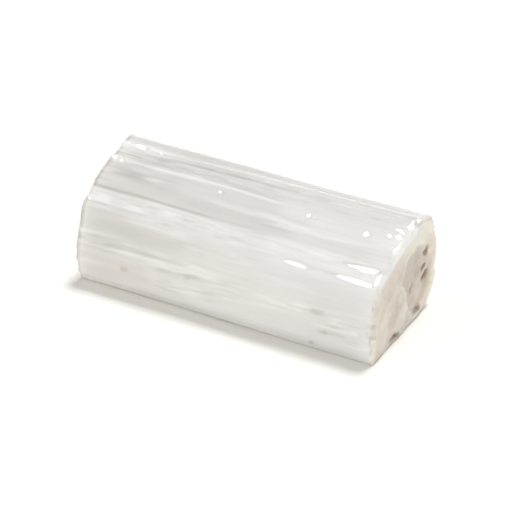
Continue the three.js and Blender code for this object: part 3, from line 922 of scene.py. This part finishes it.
class Nodes:
    """A short way to add and join a material's nodes."""

    def __init__(self, name):
        self.material = bpy.data.materials.new(name)
        self.material.use_nodes = True
        self.tree = self.material.node_tree
        self.shader = self.tree.nodes["Principled BSDF"]

    def add(self, kind, settings=None, **inputs):
        node = self.tree.nodes.new(kind)
        for name, value in (settings or {}).items():
            setattr(node, name, value)
        for name, value in inputs.items():
            self.put(node, name.replace("_", " "), value)
        return node

    def put(self, node, socket, value):
        target = node.inputs[socket]
        if isinstance(value, bpy.types.NodeSocket):
            self.tree.links.new(value, target)
        else:
            target.default_value = value

    def attribute(self, name):
        return self.add("ShaderNodeAttribute", {"attribute_name": name}).outputs["Fac"]

    def streaks(self, across, along, detail, shift):
        """Noise drawn out along the fibres: `across` and `along` are streak sizes in millimetres."""
        place = self.add("ShaderNodeTexCoord").outputs["Object"]
        scale = (1 / (along * MM), 1 / (across * MM), 1 / (across * MM))
        stretched = self.add("ShaderNodeMapping", Vector=place, Scale=scale, Location=(shift, shift, shift))
        noise = self.add("ShaderNodeTexNoise", Vector=stretched.outputs["Vector"], Scale=1.0, Detail=detail)
        return noise.outputs["Fac"]

    def ramp(self, value, stops):
        node = self.add("ShaderNodeValToRGB", Fac=value)
        ramp = node.color_ramp
        while len(ramp.elements) < len(stops):
            ramp.elements.new(0.5)
        for element, (place, colour) in zip(ramp.elements, stops):
            element.position = place
            element.color = (*colour, 1)
        return node.outputs["Color"]

    def blend(self, factor, a, b):
        node = self.add("ShaderNodeMix", {"data_type": "RGBA"})
        self.put(node, 0, factor)
        self.put(node, 6, a)
        self.put(node, 7, b)
        return node.outputs[2]

    def multiply(self, a, b):
        node = self.add("ShaderNodeMix", {"data_type": "RGBA", "blend_type": "MULTIPLY"})
        self.put(node, 0, 1.0)
        self.put(node, 6, a)
        self.put(node, 7, b)
        return node.outputs[2]

    def remap(self, value, from_low, from_high, to_low, to_high):
        node = self.add("ShaderNodeMapRange", Value=value, From_Min=from_low, From_Max=from_high,
                        To_Min=to_low, To_Max=to_high)
        return node.outputs["Result"]


def side_colour(nodes, tone, grain):
    """Milky white in paler and duller streaks and painted light and shade, warmer low down and cooler
    towards the right end.
    """
    place = nodes.add("ShaderNodeSeparateXYZ", Vector=nodes.add("ShaderNodeTexCoord").outputs["Object"])
    body = nodes.ramp(nodes.streaks(*BODY_NOISE), BODY_STOPS)
    shade = nodes.ramp(nodes.remap(tone, -TONE_RANGE, TONE_RANGE, 0, 1), TONE_STOPS)
    warm_low = nodes.ramp(nodes.remap(place.outputs["Z"], 0, WARM_HEIGHT * MM, 0, 1), WARM_STOPS)
    cool_right = nodes.ramp(nodes.remap(place.outputs["X"], 0, LENGTH / 2 * MM, 0, 1), COOL_STOPS)
    toned = nodes.multiply(nodes.multiply(body, shade), nodes.multiply(warm_low, cool_right))
    return nodes.multiply(toned, nodes.ramp(grain, GRAIN_STOPS))


def end_colour(nodes, tone):
    """The mottled beige of the broken faces."""
    total = nodes.add("ShaderNodeMath", {"operation": "ADD"})
    nodes.put(total, 0, nodes.remap(nodes.streaks(*MOTTLE_NOISE), *MOTTLE_SPAN, -END_MOTTLE, END_MOTTLE))
    nodes.put(total, 1, tone)
    return nodes.ramp(nodes.remap(total.outputs[0], -END_TONE_RANGE, END_TONE_RANGE, 0, 1), END_STOPS)


def selenite():
    nodes = Nodes("selenite")
    grain = nodes.streaks(*GRAIN_NOISE)
    tone = nodes.attribute("tone")
    sides, ends = side_colour(nodes, tone, grain), end_colour(nodes, tone)
    colour = nodes.blend(nodes.attribute("broken"), sides, ends)
    stain = nodes.remap(nodes.attribute("stain"), 0, 1, 0, STAIN_STRENGTH)
    nodes.put(nodes.shader, "Base Color", nodes.blend(stain, colour, STAIN_COLOUR))
    flat = nodes.attribute("flat")
    polish = nodes.add("ShaderNodeMapRange", Value=flat, From_Max=1.0, To_Max=FACET_ROUGHNESS)
    nodes.put(polish, "To Min", nodes.remap(grain, *SILK_SPAN, SILKY, DULL))
    nodes.put(nodes.shader, "Roughness", polish.outputs["Result"])
    nodes.put(nodes.shader, "IOR", IOR)
    nodes.put(nodes.shader, "Transmission Weight", TRANSMISSION)
    nodes.put(nodes.shader, "Subsurface Weight", 1.0)
    nodes.put(nodes.shader, "Subsurface Radius", SCATTER_RADIUS)
    nodes.put(nodes.shader, "Subsurface Scale", SCATTER_SCALE * MM)
    fibres = nodes.streaks(*SILK_NOISE)
    bump = nodes.add("ShaderNodeBump", Height=fibres, Strength=SILK_STRENGTH, Distance=SILK_HEIGHT * MM)
    nodes.put(nodes.shader, "Normal", bump.outputs["Normal"])
    return nodes.material


def floor_material():
    nodes = Nodes("pale_floor")
    nodes.put(nodes.shader, "Base Color", FLOOR_COLOUR)
    nodes.put(nodes.shader, "Roughness", FLOOR_ROUGHNESS)
    nodes.put(nodes.shader, "Specular IOR Level", FLOOR_SHINE)
    return nodes.material


def make_floor():
    size = FLOOR_HALF_SIZE
    corners = [(-size, -size, 0), (size, -size, 0), (size, size, 0), (-size, size, 0)]
    mesh = bpy.data.meshes.new("floor")
    mesh.from_pydata(corners, [], [(0, 1, 2, 3)])
    floor = bpy.data.objects.new("floor", mesh)
    mesh.materials.append(floor_material())
    bpy.context.scene.collection.objects.link(floor)


def make_camera():
    data = bpy.data.cameras.new("camera")
    data.lens = CAMERA_LENS
    data.sensor_width = CAMERA_SENSOR
    camera = bpy.data.objects.new("camera", data)
    bpy.context.scene.collection.objects.link(camera)
    camera.location = (Vector(CAMERA_TARGET) + camera_back() * CAMERA_DISTANCE) * MM
    camera.rotation_mode = "QUATERNION"
    camera.rotation_quaternion = (-camera_back()).to_track_quat("-Z", "Y")
    bpy.context.scene.camera = camera


def front_light():
    """A small soft light in front of the log and above it."""
    data = bpy.data.lights.new("front_left", "AREA")
    data.shape = "ELLIPSE"
    data.size = FRONT_LIGHT_WIDTH
    data.size_y = FRONT_LIGHT_HEIGHT
    data.energy = FRONT_LIGHT_POWER
    light = bpy.data.objects.new("front_left", data)
    bpy.context.scene.collection.objects.link(light)
    light.location = FRONT_LIGHT_PLACE
    light.rotation_mode = "QUATERNION"
    light.rotation_quaternion = (-Vector(FRONT_LIGHT_PLACE)).to_track_quat("-Z", "Y")


def make_world():
    """White surroundings: brightest at the horizon in front, dimmer overhead and behind."""
    world = bpy.data.worlds.new("studio")
    world.use_nodes = True
    tree = world.node_tree
    place = tree.nodes.new("ShaderNodeTexCoord")
    parts = tree.nodes.new("ShaderNodeSeparateXYZ")
    tree.links.new(place.outputs["Generated"], parts.inputs[0])
    strengths = []
    spans = (("Z", 0, HORIZON_REACH, WORLD_HORIZON, WORLD_ZENITH), ("Y", -1, 1, 1, WORLD_BACK_SHARE))
    for axis, low, high, at_low, at_high in spans:
        strength = tree.nodes.new("ShaderNodeMapRange")
        tree.links.new(parts.outputs[axis], strength.inputs["Value"])
        strength.inputs["From Min"].default_value = low
        strength.inputs["From Max"].default_value = high
        strength.inputs["To Min"].default_value = at_low
        strength.inputs["To Max"].default_value = at_high
        strengths.append(strength.outputs["Result"])
    total = tree.nodes.new("ShaderNodeMath")
    total.operation = "MULTIPLY"
    tree.links.new(strengths[0], total.inputs[0])
    tree.links.new(strengths[1], total.inputs[1])
    background = tree.nodes["Background"]
    background.inputs["Color"].default_value = (1, 1, 1, 1)
    tree.links.new(total.outputs[0], background.inputs["Strength"])
    bpy.context.scene.world = world


def key_light():
    """A large soft light above and behind the log, far away."""
    data = bpy.data.lights.new("key", "SUN")
    data.energy = KEY_STRENGTH
    data.angle = math.radians(KEY_ANGLE)
    light = bpy.data.objects.new("key", data)
    bpy.context.scene.collection.objects.link(light)
    light.rotation_mode = "QUATERNION"
    light.rotation_quaternion = (-Vector(KEY_DIRECTION)).to_track_quat("-Z", "Y")


def make_lights():
    make_world()
    key_light()
    front_light()
    bpy.context.scene.view_settings.view_transform = "Standard"


make_camera()
make_lights()
make_floor()
crystal = crystal_piece()
crystal.data.materials.append(selenite())
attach(crystal, "root")
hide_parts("crystal")
